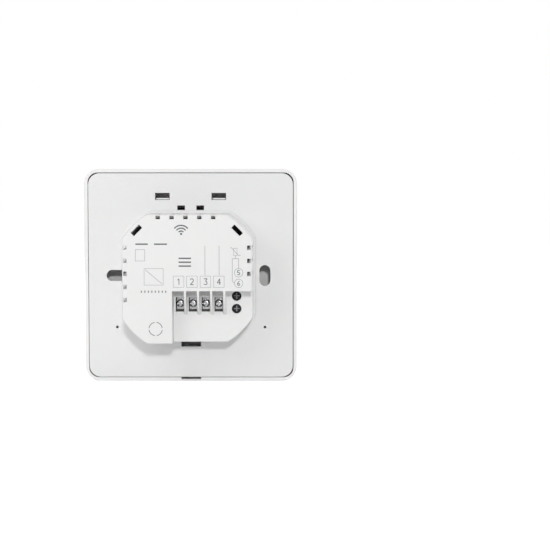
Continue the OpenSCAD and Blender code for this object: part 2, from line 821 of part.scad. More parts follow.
// pan-head screw that looks to the rear; its head stands on the plane at head_back
module rear_screw(head_r, head_h, head_back, shank_r, shank) {
    side_h = head_h * 0.4;
    dome = [for (i = [0:edge_steps]) let (a = 90 * i / edge_steps)
        [head_r * (1 - head_crown + head_crown * cos(a)), -side_h - (head_h - side_h) * sin(a)]];
    difference() {
        union() {
            translate([0, 0, -head_back]) rotate_extrude()
                polygon(concat([[0, 0], [head_r, 0]], dome, [[0, -head_h]]));
            rod(shank_r, -head_back - eps, -head_back + shank);
        }
        translate([0, 0, -head_back - head_h / 3]) cross_slot(driver_slot_w, head_r * 1.5, head_h);
    }
}

module clamp_screw(i) {
    color("silver") facing() translate([terminal_x(i), clamp_up])
        rear_screw(mains_head_r, mains_head_h, contact_back + clamp_t, mains_screw_d / 2, mains_shank);
}

// ---------- sensor terminals ----------

module sensor_terminal_block() {
    mid_x = -sensor_block_out + sensor_block_w / 2;
    color("dimgray") facing() difference() {
        behind(board_back, block_back) translate([mid_x, sensor_up])
            square([sensor_block_w, 2 * sensor_pitch - 0.5], center = true);
        for (i = SENSORS) translate([0, sensor_y(i)]) {
            // cage pocket with its wire entry, the contact's slot and the screw's way in
            behind(board_back - 1, cage_back + cage_travel + free_gap) translate([sensor_x, 0])
                square([cage_outer[0] + 2 * slide_gap, cage_outer[1] + 2 * slide_gap], center = true);
            behind(wire_window_back - wire_window[1] / 2, wire_window_back + wire_window[1] / 2)
                translate([sensor_x - 10, 0]) square([20, wire_window[0]], center = true);
            behind(board_back - 1, cage_back - cage_t + free_gap)
                translate([sensor_x + cage_outer[0] / 2 + 0.5, 0]) square([1.0, 2.4], center = true);
            translate([sensor_x, 0]) {
                rod(sensor_screw_d / 2 + run_gap, -block_back - 1, -cage_back);
                rod(sensor_head_r + slide_gap, -block_back - 1, -sensor_shoulder);
            }
        }
    }
}

module sensor_contacts() {
    leg_x = sensor_x + cage_outer[0] / 2 + 0.6;
    color("goldenrod") facing() for (i = SENSORS) translate([0, sensor_y(i)]) difference() {
        union() {
            behind(strip_back - tongue_strip_t, strip_back)
                translate([sensor_x - 1.8, -1]) square([leg_x - sensor_x + 2.0, 2]);
            behind(board_back, strip_back) translate([leg_x, 0]) square([0.4, 2], center = true);
        }
        translate([sensor_x, 0])
            rod(sensor_screw_d / 2 + run_gap, -strip_back - 1, -strip_back + tongue_strip_t + 1);
    }
}

module wire_cage(i) {
    color("silver") facing() translate([sensor_x, sensor_y(i)]) difference() {
        behind(cage_back - cage_outer[2], cage_back) square([cage_outer[0], cage_outer[1]], center = true);
        behind(cage_back - cage_outer[2] + cage_t, cage_back - cage_t)
            square([cage_outer[0] + 2, cage_outer[1] - 2 * cage_t], center = true);
        rod(sensor_screw_d / 2 + run_gap, -cage_back - 1, -cage_back + cage_t + 1);
    }
}

module cage_screw(i) {
    color("dimgray") facing() translate([sensor_x, sensor_y(i)])
        rear_screw(sensor_head_r, sensor_head_h, sensor_shoulder, sensor_screw_d / 2, sensor_shank);
}

front_cover();
dial_ring();
dial_carrier();
glide_ring();
lens_frame();
lens();
lcd_panel();
light_guide();
backlight_leds();
lcd_holder();
contact_strips();
display_board();
board_screws();
encoder_body();
encoder_shaft();
encoder_pinion();
processor();
wireless_module();
buzzer();
room_sensor();
header_socket();
mounting_plate();
back_box();
inner_cover();
base_screws();
power_board();
header_pins();
relay();
power_module();
capacitor();
varistor();
fuse();
mains_terminal_block();
mains_contacts();
for (i = TERMINALS) {
    clamp_plate(i);
    clamp_screw(i);
}
sensor_terminal_block();
sensor_contacts();
for (i = SENSORS) {
    wire_cage(i);
    cage_screw(i);
}
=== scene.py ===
"""Wall thermostat: finishes, dial ring, display, printed legend and a small studio.

All sizes in this file are millimetres until a mesh is made; Blender's own units are metres.
The dial faces -Y, the back box points to +Y and +Z is up.
"""

from __future__ import annotations

import logging
import math
from dataclasses import dataclass, field
from enum import Enum
from typing import Iterable, Sequence

import bmesh
import bpy
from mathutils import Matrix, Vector


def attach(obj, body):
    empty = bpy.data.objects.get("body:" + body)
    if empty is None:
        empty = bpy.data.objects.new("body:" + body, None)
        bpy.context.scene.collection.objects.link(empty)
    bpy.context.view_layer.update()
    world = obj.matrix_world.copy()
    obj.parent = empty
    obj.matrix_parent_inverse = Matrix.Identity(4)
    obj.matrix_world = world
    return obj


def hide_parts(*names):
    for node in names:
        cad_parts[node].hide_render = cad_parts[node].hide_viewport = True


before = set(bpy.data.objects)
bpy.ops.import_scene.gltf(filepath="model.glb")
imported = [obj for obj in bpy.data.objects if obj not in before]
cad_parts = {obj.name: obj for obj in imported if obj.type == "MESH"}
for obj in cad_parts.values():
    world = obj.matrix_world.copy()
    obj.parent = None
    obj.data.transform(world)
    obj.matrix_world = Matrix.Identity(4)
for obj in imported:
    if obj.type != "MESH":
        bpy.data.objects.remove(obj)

LOG = logging.getLogger("thermostat")
MM = 0.001
Point = tuple[float, float]
Place = tuple[float, float, float]
Colour = tuple[float, float, float]
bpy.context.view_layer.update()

ROUGHNESS_SPREAD = 0.06
SMOOTHEST = 0.02
COAT_ROUGHNESS = 0.08
SCATTER_M = 0.0008
CLOUD_DETAIL = 4.0
RELIEF_DETAIL = 2.0
RELIEF_DEPTH_M = 0.00008
EDGE_SAMPLES = 6
BRUSH_STRETCH = (0.06, 1.0, 1.0)
CREASE_DEGREES = 40.0
DEGREES_PER_STEP = 12
DOT_STEPS = 11
WHITE = (1.0, 1.0, 1.0, 1.0)


class Body(Enum):
    """The moving bodies that pieces made here ride on."""

    BASE = "base"
    FRONT = "front"
    DIAL = "dial"
    SENSOR_SCREW_5 = "cage_screw_5"
    SENSOR_SCREW_6 = "cage_screw_6"


class Grain(Enum):
    """How a surface's fine relief runs."""

    EVEN = "even"
    BRUSHED = "brushed"


@dataclass(frozen=True)
class Finish:
    """A surface finish made of noise, a soft edge and a fine relief."""

    name: str
    colour: Colour
    roughness: float
    metallic: float = 0.0
    mottle: float = 0.02
    mottle_per_m: float = 60.0
    grain: Grain = Grain.EVEN
    relief: float = 0.08
    relief_per_m: float = 6000.0
    edge_mm: float = 0.15
    specular: float = 0.5
    coat: float = 0.0
    glow: float = 0.0
    subsurface: float = 0.0

    def _coordinates(self, nodes: bpy.types.Nodes, links: bpy.types.NodeLinks) -> bpy.types.NodeSocket:
        """Return the coordinates that the relief is looked up with.

        Args:
            nodes: The material's nodes.
            links: The material's links.

        Returns:
            A vector socket in metres, drawn out along X for a brushed finish.
        """
        place = nodes.new("ShaderNodeTexCoord").outputs["Object"]
        if self.grain is Grain.EVEN:
            return place
        stretch = nodes.new("ShaderNodeMapping")
        stretch.inputs["Scale"].default_value = BRUSH_STRETCH
        links.new(place, stretch.inputs["Vector"])
        return stretch.outputs["Vector"]

    def build(self) -> bpy.types.Material:
        """Make the node material, or return it if it is already made.

        Returns:
            The material, with cloudy colour and gloss, a fine relief and soft edges.
        """
        made = bpy.data.materials.get(self.name)
        if made is not None:
            return made
        material = bpy.data.materials.new(self.name)
        material.use_nodes = True
        nodes, links = material.node_tree.nodes, material.node_tree.links
        shader = nodes["Principled BSDF"]
        shader.inputs["Metallic"].default_value = self.metallic
        shader.inputs["Specular IOR Level"].default_value = self.specular
        shader.inputs["Coat Weight"].default_value = self.coat
        shader.inputs["Coat Roughness"].default_value = COAT_ROUGHNESS
        if self.subsurface:
            shader.inputs["Subsurface Weight"].default_value = self.subsurface
            shader.inputs["Subsurface Scale"].default_value = SCATTER_M
        if self.glow:
            shader.inputs["Emission Color"].default_value = (*self.colour, 1.0)
            shader.inputs["Emission Strength"].default_value = self.glow
        place = nodes.new("ShaderNodeTexCoord").outputs["Object"]
        cloud = nodes.new("ShaderNodeTexNoise")
        cloud.inputs["Scale"].default_value = self.mottle_per_m
        cloud.inputs["Detail"].default_value = CLOUD_DETAIL
        links.new(place, cloud.inputs["Vector"])
        tint = nodes.new("ShaderNodeMix")
        tint.data_type = "RGBA"
        tint.inputs["A"].default_value = (*(c * (1 - self.mottle) for c in self.colour), 1.0)
        tint.inputs["B"].default_value = (*(min(1.0, c * (1 + self.mottle)) for c in self.colour), 1.0)
        links.new(cloud.outputs["Fac"], tint.inputs["Factor"])
        links.new(tint.outputs["Result"], shader.inputs["Base Color"])
        sheen = nodes.new("ShaderNodeMapRange")
        sheen.inputs["To Min"].default_value = max(SMOOTHEST, self.roughness - ROUGHNESS_SPREAD)
        sheen.inputs["To Max"].default_value = min(1.0, self.roughness + ROUGHNESS_SPREAD)
        links.new(cloud.outputs["Fac"], sheen.inputs["Value"])
        links.new(sheen.outputs["Result"], shader.inputs["Roughness"])
        fine = nodes.new("ShaderNodeTexNoise")
        fine.inputs["Scale"].default_value = self.relief_per_m
        fine.inputs["Detail"].default_value = RELIEF_DETAIL
        links.new(self._coordinates(nodes, links), fine.inputs["Vector"])
        bump = nodes.new("ShaderNodeBump")
        bump.inputs["Strength"].default_value = self.relief
        bump.inputs["Distance"].default_value = RELIEF_DEPTH_M
        links.new(fine.outputs["Fac"], bump.inputs["Height"])
        if self.edge_mm:
            soft = nodes.new("ShaderNodeBevel")
            soft.samples = EDGE_SAMPLES
            soft.inputs["Radius"].default_value = self.edge_mm * MM
            links.new(soft.outputs["Normal"], bump.inputs["Normal"])
        links.new(bump.outputs["Normal"], shader.inputs["Normal"])
        return material

    def dress(self, *node_names: str) -> None:
        """Put this finish on whole parts of the frame.

        Args:
            node_names: Names of the parts.
        """
        for name in node_names:
            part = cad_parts[name]
            part.data.materials.clear()
            part.data.materials.append(self.build())
            LOG.info("%s: %s", name, self.name)


WHITE_SHELL = Finish("white_shell", (0.88, 0.88, 0.875), 0.42, mottle=0.012, relief=0.12,
                     edge_mm=0.45, subsurface=0.05)
WHITE_PLATE = Finish("white_plate", (0.82, 0.82, 0.82), 0.5, mottle=0.015, relief=0.14,
                     edge_mm=0.12, subsurface=0.05)
WHITE_BOX = Finish("white_box", (0.85, 0.85, 0.845), 0.48, mottle=0.014, relief=0.14, edge_mm=0.22,
                   subsurface=0.05)
WHITE_INNER = Finish("white_inner_moulding", (0.70, 0.70, 0.69), 0.55, relief=0.12)
SATIN_SILVER = Finish("satin_silver_ring", (0.72, 0.72, 0.725), 0.47, metallic=1.0, mottle=0.03,
                      mottle_per_m=900.0, relief=0.22, relief_per_m=5200.0, edge_mm=0.0)
ACETAL = Finish("natural_acetal", (0.72, 0.71, 0.67), 0.35, relief=0.05)
BLACK_PLASTIC = Finish("black_moulding", (0.018, 0.018, 0.02), 0.45, mottle=0.1, relief=0.1)
SMOKED = Finish("smoked_lens", (0.006, 0.006, 0.008), 0.06, mottle=0.1, relief=0.004, edge_mm=0.2,
                specular=0.35, coat=0.25)
GLASS_STACK = Finish("dark_display_glass", (0.03, 0.035, 0.04), 0.12, relief=0.01)
LIGHT_GUIDE = Finish("clear_acrylic", (0.75, 0.80, 0.80), 0.12, relief=0.02)
MASK = Finish("dark_solder_mask", (0.010, 0.022, 0.014), 0.38, mottle=0.35, mottle_per_m=500.0,
              relief=0.3, relief_per_m=2500.0)
ZINC = Finish("bright_zinc", (0.62, 0.63, 0.64), 0.27, metallic=1.0, mottle=0.12,
              mottle_per_m=700.0, grain=Grain.BRUSHED, relief=0.25, relief_per_m=9000.0,
              edge_mm=0.12)
DARK_STEEL = Finish("dark_passivated_steel", (0.022, 0.022, 0.024), 0.4, metallic=0.3, mottle=0.2,
                    mottle_per_m=800.0, relief=0.2, edge_mm=0.15)
# painted highlight: a lighter steel laid in the sensor screws' cross slots, standing for the glint of
# light on the dark screw heads
SLOT_HIGHLIGHT_STEEL = Finish("painted_slot_highlight", (0.30, 0.30, 0.31), 0.35, metallic=0.6, mottle=0.3,
                    mottle_per_m=2500.0, relief=0.3, edge_mm=0.0)
TINNED = Finish("tinned_bronze", (0.16, 0.155, 0.15), 0.45, metallic=0.8, mottle=0.2,
                mottle_per_m=900.0, relief=0.2)
BRASS = Finish("plain_brass", (0.62, 0.46, 0.20), 0.3, metallic=1.0, mottle=0.12,
               mottle_per_m=500.0, grain=Grain.BRUSHED, relief=0.2)
EPOXY = Finish("matt_black_epoxy", (0.014, 0.014, 0.016), 0.6, mottle=0.15, relief=0.25,
               relief_per_m=3500.0)
SHIELD = Finish("tinned_can", (0.50, 0.51, 0.52), 0.3, metallic=1.0, mottle=0.08,
                grain=Grain.BRUSHED)
TERMINAL_GREY = Finish("grey_polyamide", (0.055, 0.055, 0.06), 0.5, mottle=0.08, relief=0.2)
SILICONE = Finish("soft_silicone", (0.62, 0.42, 0.45), 0.6, relief=0.1)
DIPPED_BLUE = Finish("dipped_blue_epoxy", (0.02, 0.05, 0.20), 0.25, mottle=0.1, relief=0.15,
                     relief_per_m=1500.0)
CERAMIC = Finish("glazed_ceramic", (0.55, 0.50, 0.40), 0.25, relief=0.05)
LED_RESIN = Finish("clear_led_resin", (0.85, 0.85, 0.72), 0.2, relief=0.02)
INK = Finish("grey_print", (0.16, 0.16, 0.17), 0.7, mottle=0.25, mottle_per_m=2500.0, relief=0.1,
             edge_mm=0.0)
PALE_INK = Finish("pale_grey_print", (0.42, 0.42, 0.43), 0.7, mottle=0.2, mottle_per_m=2500.0,
                  relief=0.1, edge_mm=0.0)
LIT = Finish("lit_segments", (0.80, 0.92, 1.0), 0.4, mottle=0.03, relief=0.02, edge_mm=0.0,
             glow=1.6)
DIM = Finish("dim_segments", (0.30, 0.36, 0.40), 0.4, mottle=0.05, relief=0.02, edge_mm=0.0,
             glow=0.35)


def finished_object(name: str, mesh: bpy.types.Mesh, finish: Finish, body: Body) -> bpy.types.Object:
    """Put a finished mesh into the scene and set it on its body.

    Args:
        name: Name of the new piece.
        mesh: Its mesh, in metres in the shared frame.
        finish: Its surface.
        body: The body it rides on.

    Returns:
        The new object.
    """
    piece = bpy.data.objects.new(name, mesh)
    bpy.context.scene.collection.objects.link(piece)
    mesh.materials.append(finish.build())
    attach(piece, body.value)
    LOG.info("%s: made, on %s", name, body.value)
    return piece


def turned_mesh(name: str, section: Sequence[Point], steps: int) -> bpy.types.Mesh:
    """Turn a closed section about the dial axis.

    Args:
        name: Name of the mesh.
        section: Points as (radius, distance in front of the wall), in millimetres.
        steps: Facets round the axis.

    Returns:
        A smooth-shaded closed mesh in metres.
    """
    form = bmesh.new()
    rings = []
    for step in range(steps):
        turn = 2 * math.pi * step / steps
        rings.append([form.verts.new((r * math.cos(turn) * MM, -z * MM, r * math.sin(turn) * MM))
                      for r, z in section])
    count = len(section)
    for step in range(steps):
        here, there = rings[step], rings[(step + 1) % steps]
        for i in range(count):
            j = (i + 1) % count
            form.faces.new((here[i], here[j], there[j], there[i]))
    bmesh.ops.recalc_face_normals(form, faces=form.faces)
    mesh = bpy.data.meshes.new(name)
    form.to_mesh(mesh)
    form.free()
    mesh.shade_smooth()
    mesh.set_sharp_from_angle(angle=math.radians(CREASE_DEGREES))
    return mesh


def arc_points(centre: Point, radius: float, start: float, end: float, steps: int) -> list[Point]:
    """Points along an arc.

    Args:
        centre: The arc's centre.
        radius: Its radius.
        start: First angle in degrees.
        end: Last angle in degrees.
        steps: Number of chords.

    Returns:
        steps + 1 points.
    """
    angles = (math.radians(start + (end - start) * i / steps) for i in range(steps + 1))
    return [(centre[0] + radius * math.cos(a), centre[1] + radius * math.sin(a)) for a in angles]


@dataclass
class FlatArt:
    """Thin shapes laid on a face that looks along Y, collected into one mesh.

    Shapes are given as (right, up) in millimetres, in the row's own X and Z.
    """

    name: str
    face_y: float
    lift: float
    outward: int
    pieces: list[list[Point]] = field(default_factory=list)

    def polygon(self, points: Iterable[Point]) -> None:
        """Add one filled outline.

        Args:
            points: Its corners in order.
        """
        self.pieces.append(list(points))

    def bar(self, start: Point, end: Point, width: float) -> None:
        """Add a straight stroke.

        Args:
            start: One end.
            end: The other end.
            width: Width of the stroke.
        """
        run = Vector((end[0] - start[0], end[1] - start[1]))
        side = Vector((-run.y, run.x)).normalized() * width / 2
        self.polygon([(start[0] + side.x, start[1] + side.y), (start[0] - side.x, start[1] - side.y),
                      (end[0] - side.x, end[1] - side.y), (end[0] + side.x, end[1] + side.y)])

    def path(self, points: Sequence[Point], width: float) -> None:
        """Add a stroke along several points, with square joins.

        Args:
            points: The points that it runs through.
            width: Width of the stroke.
        """
        for a, b in zip(points, points[1:]):
            self.bar(a, b, width)

    def frame_box(self, centre: Point, size: Point, width: float) -> None:
        """Add a rectangle drawn in outline.

        Args:
            centre: Its middle.
            size: Its width and height, between the middles of its strokes.
            width: Width of the stroke.
        """
        x, z = size[0] / 2, size[1] / 2
        cx, cz = centre
        self.path([(cx - x - width / 2, cz - z), (cx + x + width / 2, cz - z)], width)
        self.path([(cx - x - width / 2, cz + z), (cx + x + width / 2, cz + z)], width)
        self.path([(cx - x, cz - z), (cx - x, cz + z)], width)
        self.path([(cx + x, cz - z), (cx + x, cz + z)], width)

    def ring(self, centre: Point, radius: float, width: float, start: float = 0.0,
             end: float = 360.0) -> None:
        """Add part or all of a circle drawn in outline.

        Args:
            centre: Its middle.
            radius: Its radius to the middle of the stroke.
            width: Width of the stroke.
            start: First angle in degrees.
            end: Last angle in degrees.
        """
        steps = max(4, int(abs(end - start) / DEGREES_PER_STEP))
        outer = arc_points(centre, radius + width / 2, start, end, steps)
        inner = arc_points(centre, radius - width / 2, start, end, steps)
        for i in range(steps):
            self.polygon([inner[i], outer[i], outer[i + 1], inner[i + 1]])

    def dot(self, centre: Point, radius: float) -> None:
        """Add a filled circle.

        Args:
            centre: Its middle.
            radius: Its radius.
        """
        self.polygon(arc_points(centre, radius, 0, 360 * DOT_STEPS / (DOT_STEPS + 1), DOT_STEPS))

    def digit(self, character: str, centre: Point, height: float, width: float) -> None:
        """Add one rounded drawn figure from short strokes.

        Args:
            character: A figure from 1 to 6.
            centre: Its middle, with X counted as the reader sees it, to the left.
            height: Its height.
            width: Width of the stroke.
        """
        h, w = height / 2, height * 0.28
        strokes: dict[str, list[list[Point]]] = {
            "1": [[(-w * 0.6, h * 0.55), (w * 0.2, h), (w * 0.2, -h)]],
            "2": [[(-w, h * 0.6), (-w * 0.5, h), (w * 0.5, h), (w, h * 0.5), (w * 0.6, 0), (-w, -h),
                   (w, -h)]],
            "3": [[(-w, h), (w, h), (0, h * 0.15), (w * 0.7, 0), (w, -h * 0.5), (w * 0.5, -h),
                   (-w, -h * 0.8)]],
            "4": [[(w * 0.5, -h), (w * 0.5, h), (-w, -h * 0.35), (w * 1.1, -h * 0.35)]],
            "5": [[(w, h), (-w * 0.8, h), (-w, h * 0.1), (w * 0.5, h * 0.15), (w, -h * 0.4),
                   (w * 0.5, -h), (-w, -h * 0.8)]],
            "6": [[(w * 0.7, h), (-w * 0.5, h * 0.5), (-w, -h * 0.4), (-w * 0.4, -h), (w * 0.5, -h),
                   (w, -h * 0.45), (w * 0.4, 0), (-w * 0.8, -h * 0.15)]],
        }
        for stroke in strokes[character]:
            self.path([(centre[0] + self.outward * -p[0], centre[1] + p[1]) for p in stroke], width)

    def build(self, finish: Finish, body: Body, slot: str) -> bpy.types.Object:
        """Make one object of all the shapes.

        Args:
            finish: Its surface.
            body: The body it rides on.
            slot: The record's material slot that it takes after.

        Returns:
            slot: Names a material slot of the record; not used.
        """
        form = bmesh.new()
        y_face, y_top = self.face_y * MM, (self.face_y + self.outward * self.lift) * MM
        for points in self.pieces:
            low = [form.verts.new((x * MM, y_face, z * MM)) for x, z in points]
            top = [form.verts.new((x * MM, y_top, z * MM)) for x, z in points]
            form.faces.new(top)
            form.faces.new(list(reversed(low)))
            for i in range(len(points)):
                j = (i + 1) % len(points)
                form.faces.new((low[i], low[j], top[j], top[i]))
        bmesh.ops.recalc_face_normals(form, faces=form.faces)
        mesh = bpy.data.meshes.new(self.name)
        form.to_mesh(mesh)
        form.free()
        return finished_object(self.name, mesh, finish, body)


@dataclass
class DialRing:
    """The big turning ring, and the parts behind it that turn or carry it."""

    rear_r: float = 38.5
    full_r: float = 42.6
    rear_z: float = 12.4
    front_z: float = 31.3
    bulge_height: float = 11.0
    front_round: float = 3.0
    opening_r: float = 35.4
    seat_r: float = 37.2
    foot_round: float = 0.42
    foot_sweep: Point = (270, 330)
    foot_steps: int = 4
    bulge_from: float = 2.0
    bulge_steps: int = 40
    round_from: float = 6
    round_steps: int = 14
    lip_set_back: float = 0.9
    lip_edge: tuple[Point, ...] = ((0.5, 0.05), (0.12, -0.15), (0.0, -0.5))
    lip_t: float = 1.8
    seat_chamfer: float = 0.3
    steps: int = 256

    def section(self) -> list[Point]:
        """Draw the ring's section.

        Returns:
            A closed outline as (radius, distance in front of the wall), outside first.
        """
        bulge = self.full_r - self.rear_r
        radius = (bulge**2 + self.bulge_height**2) / (2 * bulge)
        centre = (self.full_r - radius, self.rear_z + self.bulge_height)
        round_z = self.front_z - self.front_round
        join = math.degrees(math.asin((round_z - centre[1]) / radius))
        round_centre = (centre[0] + radius * math.cos(math.radians(join)) - self.front_round, round_z)
        start = math.degrees(math.asin(-self.bulge_height / radius))
        foot = (self.rear_r - self.foot_round - 0.01, self.rear_z + self.foot_round)
        outside = arc_points(foot, self.foot_round, *self.foot_sweep, self.foot_steps)
        outside += arc_points(centre, radius, start + self.bulge_from, join, self.bulge_steps)
        outside += arc_points(round_centre, self.front_round, join + self.round_from, 90,
                              self.round_steps)
        lip = self.front_z - self.lip_set_back
        edge = [(self.opening_r + out, lip + up) for out, up in self.lip_edge]
        seat = [(self.opening_r, lip - self.lip_t), (self.seat_r, lip - self.lip_t),
                (self.seat_r, self.rear_z + self.seat_chamfer),
                (self.seat_r + self.seat_chamfer, self.rear_z)]
        return outside + edge + seat

    def build(self) -> None:
        """Make the ring and dress the parts that turn with it."""
        mesh = turned_mesh("dial_ring_smooth", self.section(), self.steps)
        ring = finished_object("dial_ring_smooth", mesh, SATIN_SILVER, Body.DIAL)
        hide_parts("dial_ring")
        ACETAL.dress("dial_carrier", "glide_ring", "encoder_pinion")
        ZINC.dress("encoder_shaft")


@dataclass
class DisplayFace:
    """The dark lens and what shows through it."""

    lens_z: float = 30.4
    lift: float = 0.03
    digit_h: float = 15.0
    digit_w: float = 8.4
    stroke: float = 1.9
    gap: float = 0.28
    tick_r: float = 31.6
    tick_count: int = 60
    lit_ticks: int = 31
    lit_tick: Point = (1.9, 0.5)
    dim_tick: Point = (1.4, 0.4)
    first_tick: float = 225.0
    tick_sweep: float = 270.0
    whole_x: dict[str, float] = field(default_factory=lambda: {"2": -11.2, "1": -1.6})
    whole_z: float = 1.5
    tenth_at: Point = (10.4, -1.1)
    tenth_scale: float = 0.65
    point_at: Point = (5.6, -5.2)
    point_r: float = 0.95
    degree_at: Point = (10.4, 7.4)
    degree_ring: Point = (1.25, 0.6)
    flame: tuple[Point, ...] = ((0, -20.2), (1.7, -18.6), (1.5, -16.8), (0.5, -14.8), (-0.1, -16.4),
                                (-0.9, -15.8), (-1.6, -17.4), (-1.5, -19.0))
    segments: dict[str, str] = field(default_factory=lambda: {"2": "abged", "1": "bc", "5": "afgcd"})

    def _figure(self, art: FlatArt, figure: str, centre: Point, scale: float) -> None:
        """Add one seven-segment figure.

        Args:
            art: Where it is drawn.
            figure: The figure.
            centre: Its middle.
            scale: Size against the large figures.
        """
        h, w, s = self.digit_h * scale / 2, self.digit_w * scale / 2, self.stroke * scale / 2
        gap = self.gap * scale
        cx, cz = centre
        across = {"a": h - s, "g": 0.0, "d": -(h - s)}
        upright = {"b": (1, 1), "c": (1, -1), "f": (-1, 1), "e": (-1, -1)}
        for name in self.segments[figure]:
            if name in across:
                z = cz + across[name]
                x0, x1 = cx - w + s + gap, cx + w - s - gap
                art.polygon([(x0 - s, z), (x0, z + s), (x1, z + s), (x1 + s, z), (x1, z - s),
                             (x0, z - s)])
            else:
                side, level = upright[name]
                x = cx + side * (w - s)
                z0, z1 = cz + level * gap, cz + level * (h - s - gap)
                low, high = min(z0, z1), max(z0, z1)
                art.polygon([(x, low), (x + s, low + s), (x + s, high - s * 0.2), (x, high + s * 0.8),
                             (x - s, high - s * 0.2), (x - s, low + s)])

    def _ticks(self, art: FlatArt, numbers: range, tick: Point) -> None:
        """Add some of the ticks round the lens.

        Args:
            art: Where they are drawn.
            numbers: Which ticks, counted clockwise from the lower left.
            tick: A tick's length and width.
        """
        inner_r = self.tick_r - tick[0]
        for i in numbers:
            turn = math.radians(self.first_tick - self.tick_sweep * i / (self.tick_count - 1))
            art.bar((self.tick_r * math.cos(turn), self.tick_r * math.sin(turn)),
                    (inner_r * math.cos(turn), inner_r * math.sin(turn)), tick[1])

    def build(self) -> None:
        """Draw the reading and the tick ring, and dress the display stack."""
        lit = FlatArt("display_reading", -self.lens_z, self.lift, -1)
        for figure, x in self.whole_x.items():
            self._figure(lit, figure, (x, self.whole_z), 1.0)
        lit.dot(self.point_at, self.point_r)
        self._figure(lit, "5", self.tenth_at, self.tenth_scale)
        lit.ring(self.degree_at, *self.degree_ring)
        self._ticks(lit, range(self.lit_ticks), self.lit_tick)
        lit.build(LIT, Body.FRONT, "led_white")
        dim = FlatArt("display_scale", -self.lens_z, self.lift, -1)
        self._ticks(dim, range(self.lit_ticks, self.tick_count), self.dim_tick)
        dim.polygon(self.flame)
        dim.build(DIM, Body.FRONT, "led_white")
        SMOKED.dress("lens")
        BLACK_PLASTIC.dress("lens_frame", "header_socket")
        GLASS_STACK.dress("lcd_panel")
        LIGHT_GUIDE.dress("light_guide")
        LED_RESIN.dress("backlight_leds")
        WHITE_INNER.dress("lcd_holder")
        SILICONE.dress("contact_strips")
        MASK.dress("display_board")
        ZINC.dress("board_screws")
        EPOXY.dress("encoder_body", "processor", "buzzer", "room_sensor")
        SHIELD.dress("wireless_module")


